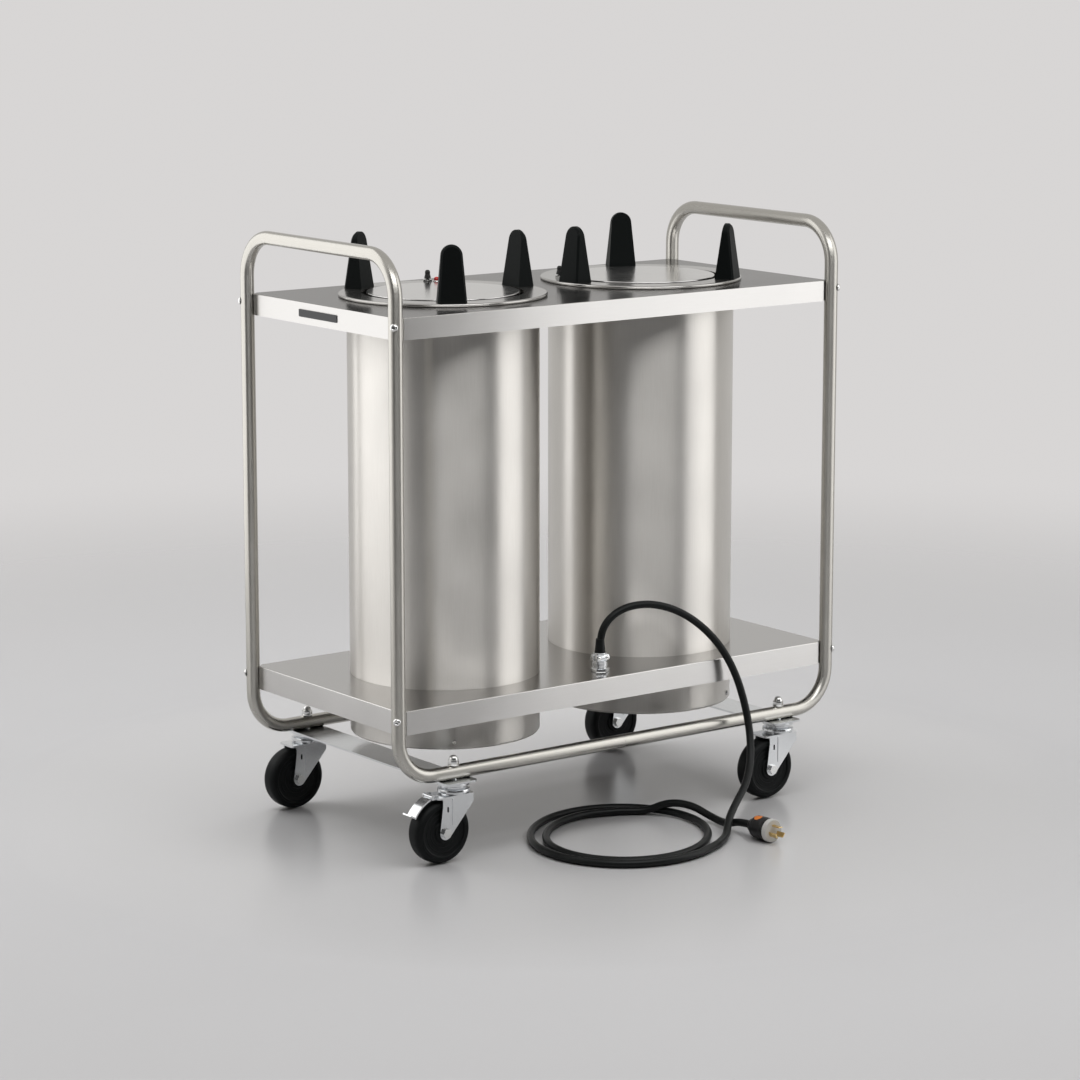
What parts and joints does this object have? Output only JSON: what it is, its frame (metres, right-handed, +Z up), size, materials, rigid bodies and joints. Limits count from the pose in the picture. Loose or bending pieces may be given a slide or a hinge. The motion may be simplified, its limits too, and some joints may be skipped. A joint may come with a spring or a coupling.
{
  "type": "heated plate dispenser",
  "caption": "Open tubular steel cart on swivel casters carrying spring-lifted heated plate wells between upper and lower decks.",
  "frame": {"origin": "on the floor, under the middle of the tube frame", "axes": "+X along the cart to the right, -Y the front, where the cord leaves the lower deck, +Z up"},
  "size_m": [0.9, 0.6874, 0.9631],
  "materials": {
    "polished_tube": "polished",
    "deck_steel": "satin",
    "column_steel": "fine vertical brush",
    "carrier_steel": "polished",
    "zinc_plate": "zinc plated",
    "screw_steel": "bright",
    "spring_steel": "oiled",
    "heater_tube": "heat darkened",
    "black_plastic": "satin",
    "black_rubber": "matte",
    "tread": "matte",
    "cord_jacket": "matte",
    "red_lens": "gloss",
    "plug_white": "gloss",
    "blade_brass": "bright",
    "plate_grey": "satin",
    "bushing_plastic": "natural"
  },
  "bodies": {
    "chassis": {"frame_tube_left": "polished_tube", "frame_tube_right": "polished_tube", "joint_sleeves": "zinc_plate", "upper_deck": "deck_steel", "lower_deck": "deck_steel", "deck_bolts": "screw_steel", "deck_nuts": "zinc_plate", "cross_plate_left": "zinc_plate", "cross_plate_right": "zinc_plate", "caster_stems": "zinc_plate", "rail_nuts": "screw_steel", "caster_races": "zinc_plate", "nameplate": "plate_grey", "junction_box": "zinc_plate", "junction_cover": "zinc_plate", "conduits": "zinc_plate", "cord_grip": "zinc_plate", "grip_screws": "screw_steel", "power_cord": "cord_jacket", "cord_coil": "cord_jacket", "cord_tail": "cord_jacket", "plug_body": "black_rubber", "plug_face": "plug_white", "plug_blades": "blade_brass", "column_shell_left": "column_steel", "column_shell_right": "column_steel", "base_pan_left": "column_steel", "base_pan_right": "column_steel", "pan_screws": "screw_steel", "flange_ring_left": "deck_steel", "flange_ring_right": "deck_steel", "plate_guides_left": "black_plastic", "plate_guides_right": "black_plastic", "guide_rods": "screw_steel", "heaters": "heater_tube", "thermostats": "zinc_plate", "switch_bodies": "screw_steel", "pilot_lamps": "red_lens", "carrier_springs_left": "spring_steel", "carrier_springs_right": "spring_steel"},
    "plate_carrier_left": {"carrier_left": "carrier_steel", "carrier_bushings_left": "bushing_plastic"},
    "lever_left": {"switch_lever_left": "black_rubber"},
    "plate_carrier_right": {"carrier_right": "carrier_steel", "carrier_bushings_right": "bushing_plastic"},
    "lever_right": {"switch_lever_right": "black_rubber"},
    "swivel_front_left": {"fork_front_left": "zinc_plate", "wheel_axle_front_left": "screw_steel"},
    "roller_front_left": {"wheel_front_left": "tread"},
    "pedal_front_left": {"brake_front_left": "zinc_plate"},
    "swivel_front_right": {"fork_front_right": "zinc_plate", "wheel_axle_front_right": "screw_steel"},
    "roller_front_right": {"wheel_front_right": "tread"},
    "swivel_back_left": {"fork_back_left": "zinc_plate", "wheel_axle_back_left": "screw_steel"},
    "roller_back_left": {"wheel_back_left": "tread"},
    "swivel_back_right": {"fork_back_right": "zinc_plate", "wheel_axle_back_right": "screw_steel"},
    "roller_back_right": {"wheel_back_right": "tread"},
    "pedal_back_right": {"brake_back_right": "zinc_plate"}
  },
  "joints": [
    {"name": "carrier_left_slide", "type": "slide", "parent": "chassis", "child": "plate_carrier_left", "axis": [0, 0, -1], "range_m": [0, 0.53], "stiffness_N_per_m": 600, "springref_m": -0.06, "deforming": ["carrier_springs_left"]},
    {"name": "lever_left_tilt", "type": "hinge", "parent": "chassis", "child": "lever_left", "pos_m": [-0.14111, 0.12779, 0.8633], "axis": [-0.9063, 0.4226, 0], "range_deg": [-12, 12]},
    {"name": "carrier_right_slide", "type": "slide", "parent": "chassis", "child": "plate_carrier_right", "axis": [0, 0, -1], "range_m": [0, 0.53], "stiffness_N_per_m": 600, "springref_m": -0.06, "deforming": ["carrier_springs_right"]},
    {"name": "lever_right_tilt", "type": "hinge", "parent": "chassis", "child": "lever_right", "pos_m": [0.0682, 0.04822, 0.8633], "axis": [-0.342, -0.9397, 0], "range_deg": [-12, 12]},
    {"name": "front_left_swivel", "type": "hinge", "parent": "chassis", "child": "swivel_front_left", "pos_m": [-0.3327, -0.2085, 0.108], "axis": [0, 0, 1], "continuous": true},
    {"name": "front_left_roll", "type": "hinge", "parent": "swivel_front_left", "child": "roller_front_left", "pos_m": [-0.3613, -0.2085, 0.0508], "axis": [0, 1, 0], "continuous": true},
    {"name": "front_left_brake", "type": "hinge", "parent": "swivel_front_left", "child": "pedal_front_left", "pos_m": [-0.3797, -0.2085, 0.1085], "axis": [0, -1, 0], "range_deg": [0, 9.5]},
    {"name": "front_right_swivel", "type": "hinge", "parent": "chassis", "child": "swivel_front_right", "pos_m": [0.3327, -0.2085, 0.108], "axis": [0, 0, 1], "continuous": true},
    {"name": "front_right_roll", "type": "hinge", "parent": "swivel_front_right", "child": "roller_front_right", "pos_m": [0.3041, -0.2085, 0.0508], "axis": [0, 1, 0], "continuous": true},
    {"name": "back_left_swivel", "type": "hinge", "parent": "chassis", "child": "swivel_back_left", "pos_m": [-0.3327, 0.2085, 0.108], "axis": [0, 0, 1], "continuous": true},
    {"name": "back_left_roll", "type": "hinge", "parent": "swivel_back_left", "child": "roller_back_left", "pos_m": [-0.3613, 0.2085, 0.0508], "axis": [0, 1, 0], "continuous": true},
    {"name": "back_right_swivel", "type": "hinge", "parent": "chassis", "child": "swivel_back_right", "pos_m": [0.3327, 0.2085, 0.108], "axis": [0, 0, 1], "continuous": true},
    {"name": "back_right_roll", "type": "hinge", "parent": "swivel_back_right", "child": "roller_back_right", "pos_m": [0.3041, 0.2085, 0.0508], "axis": [0, 1, 0], "continuous": true},
    {"name": "back_right_brake", "type": "hinge", "parent": "swivel_back_right", "child": "pedal_back_right", "pos_m": [0.2857, 0.2085, 0.1085], "axis": [0, -1, 0], "range_deg": [0, 9.5]}
  ]
}
